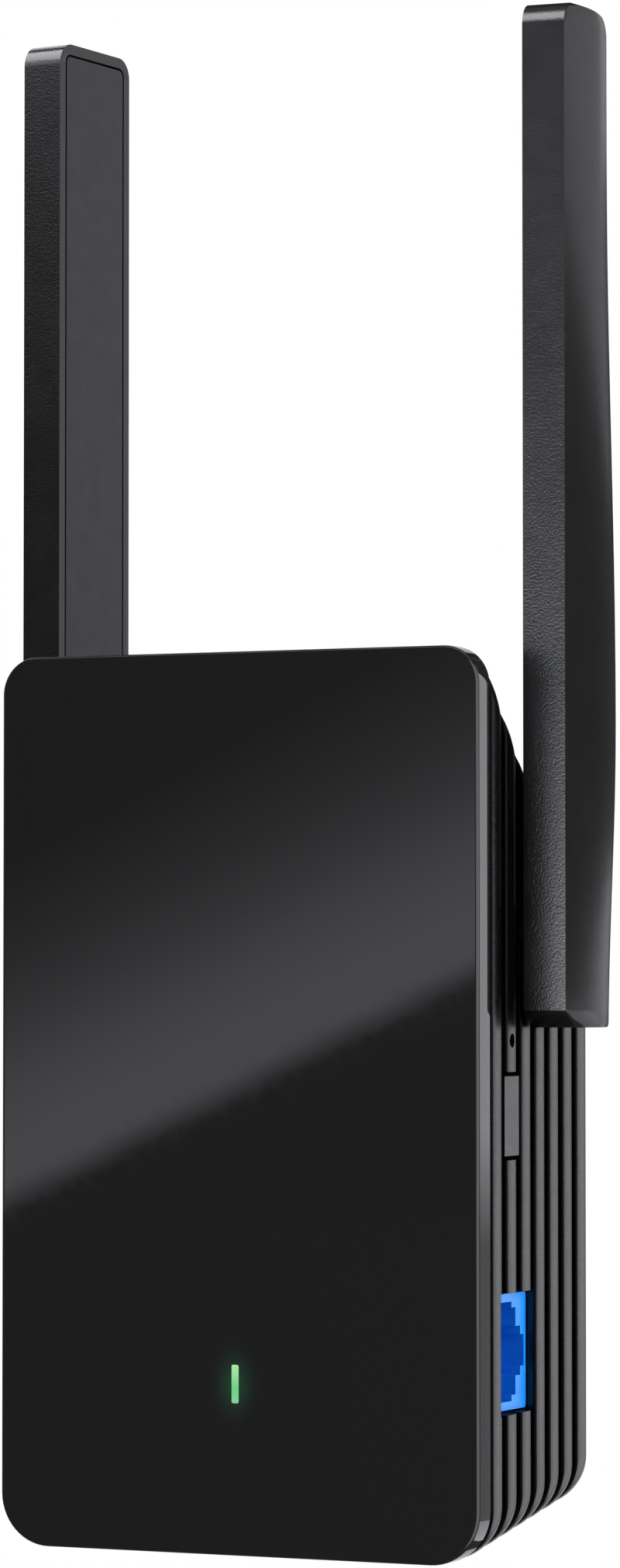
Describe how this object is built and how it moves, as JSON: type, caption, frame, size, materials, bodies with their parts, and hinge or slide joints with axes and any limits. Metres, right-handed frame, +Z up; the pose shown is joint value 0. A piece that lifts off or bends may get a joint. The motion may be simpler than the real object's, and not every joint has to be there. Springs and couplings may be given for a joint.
{
  "type": "wifi range extender",
  "caption": "Wall-plug wifi range extender: flat front cover, ribbed tapering housing, folding blade antennas on side hinges, side network socket and buttons.",
  "frame": {"origin": "middle of the raised flat face round the plug blades that meets the wall outlet", "axes": "+Y into the wall, along the plug blades; +Z up, along the upright antennas; +X to the right when looking at the front cover from the room"},
  "size_m": [0.08, 0.062, 0.197],
  "materials": {
    "gloss_black": "polished black front cover",
    "satin_black": "satin moulded ribs",
    "grained_black": "fine moulded grain",
    "panel_black": "smooth satin",
    "frame_black": "matte",
    "plug_black": "satin",
    "light_green": "lit diffuser",
    "jack_blue": "moulded blue",
    "gold_plate": "gold plated",
    "nickel_plate": "nickel plated",
    "zinc_steel": "zinc plated",
    "aluminium": "satin",
    "board_green": "solder mask",
    "chip_black": "moulded",
    "pad_grey": "soft pad",
    "capacitor_sleeve": "shrink sleeve",
    "transformer_tape": "film tape",
    "cable_grey": "cable jacket",
    "wire_red": "wire jacket",
    "switch_white": "moulded"
  },
  "bodies": {
    "base": {"front_cover": "gloss_black", "light_guide": "light_green", "status_led": "switch_white", "mid_frame": "frame_black", "rear_housing": "satin_black", "housing_screw_1": "zinc_steel", "housing_screw_2": "zinc_steel", "housing_screw_3": "zinc_steel", "housing_screw_4": "zinc_steel", "board_screw_1": "zinc_steel", "board_screw_2": "zinc_steel", "board_screw_3": "zinc_steel", "board_screw_4": "zinc_steel", "plug_screw_1": "zinc_steel", "plug_screw_2": "zinc_steel", "main_board": "board_green", "processor_chip": "chip_black", "thermal_pad": "pad_grey", "shield_can": "nickel_plate", "heat_sink": "aluminium", "rj45_jack": "jack_blue", "rj45_contacts": "gold_plate", "wps_switch": "chip_black", "reset_switch": "chip_black", "power_board": "board_green", "transformer": "transformer_tape", "capacitor_a": "capacitor_sleeve", "capacitor_b": "capacitor_sleeve", "inductor": "chip_black", "power_lead": "wire_red", "plug_base": "plug_black", "plug_blade_left": "nickel_plate", "plug_blade_right": "nickel_plate", "blade_contact_left": "gold_plate", "blade_contact_right": "gold_plate", "hinge_washer_left": "zinc_steel", "coax_lead_left": "cable_grey", "coax_plug_left": "gold_plate", "hinge_washer_right": "zinc_steel", "coax_lead_right": "cable_grey", "coax_plug_right": "gold_plate"},
    "antenna_left": {"antenna_left_shell": "grained_black", "antenna_left_panel": "panel_black", "antenna_left_radiator": "board_green", "antenna_left_pivot": "plug_black", "antenna_left_clip": "zinc_steel", "antenna_left_cable": "cable_grey"},
    "antenna_right": {"antenna_right_shell": "grained_black", "antenna_right_panel": "panel_black", "antenna_right_radiator": "board_green", "antenna_right_pivot": "plug_black", "antenna_right_clip": "zinc_steel", "antenna_right_cable": "cable_grey"},
    "wps_button": {"wps_button": "satin_black"},
    "reset_button": {"reset_button": "switch_white"}
  },
  "joints": [
    {"name": "antenna_left_hinge", "type": "hinge", "parent": "base", "child": "antenna_left", "pos_m": [-0.03165, -0.0213, 0.034], "axis": [0.9968, -0.0797, 0], "range_deg": [0, 180]},
    {"name": "antenna_right_hinge", "type": "hinge", "parent": "base", "child": "antenna_right", "pos_m": [0.03165, -0.0213, 0.034], "axis": [0.9968, 0.0797, 0], "range_deg": [0, 180]},
    {"name": "wps_button_press", "type": "slide", "parent": "base", "child": "wps_button", "axis": [-0.9968, -0.0797, 0], "range_m": [0, 0.0005], "stiffness_N_per_m": 2000},
    {"name": "reset_button_press", "type": "slide", "parent": "base", "child": "reset_button", "axis": [-0.9968, -0.0797, 0], "range_m": [0, 0.0003], "stiffness_N_per_m": 2000}
  ]
}
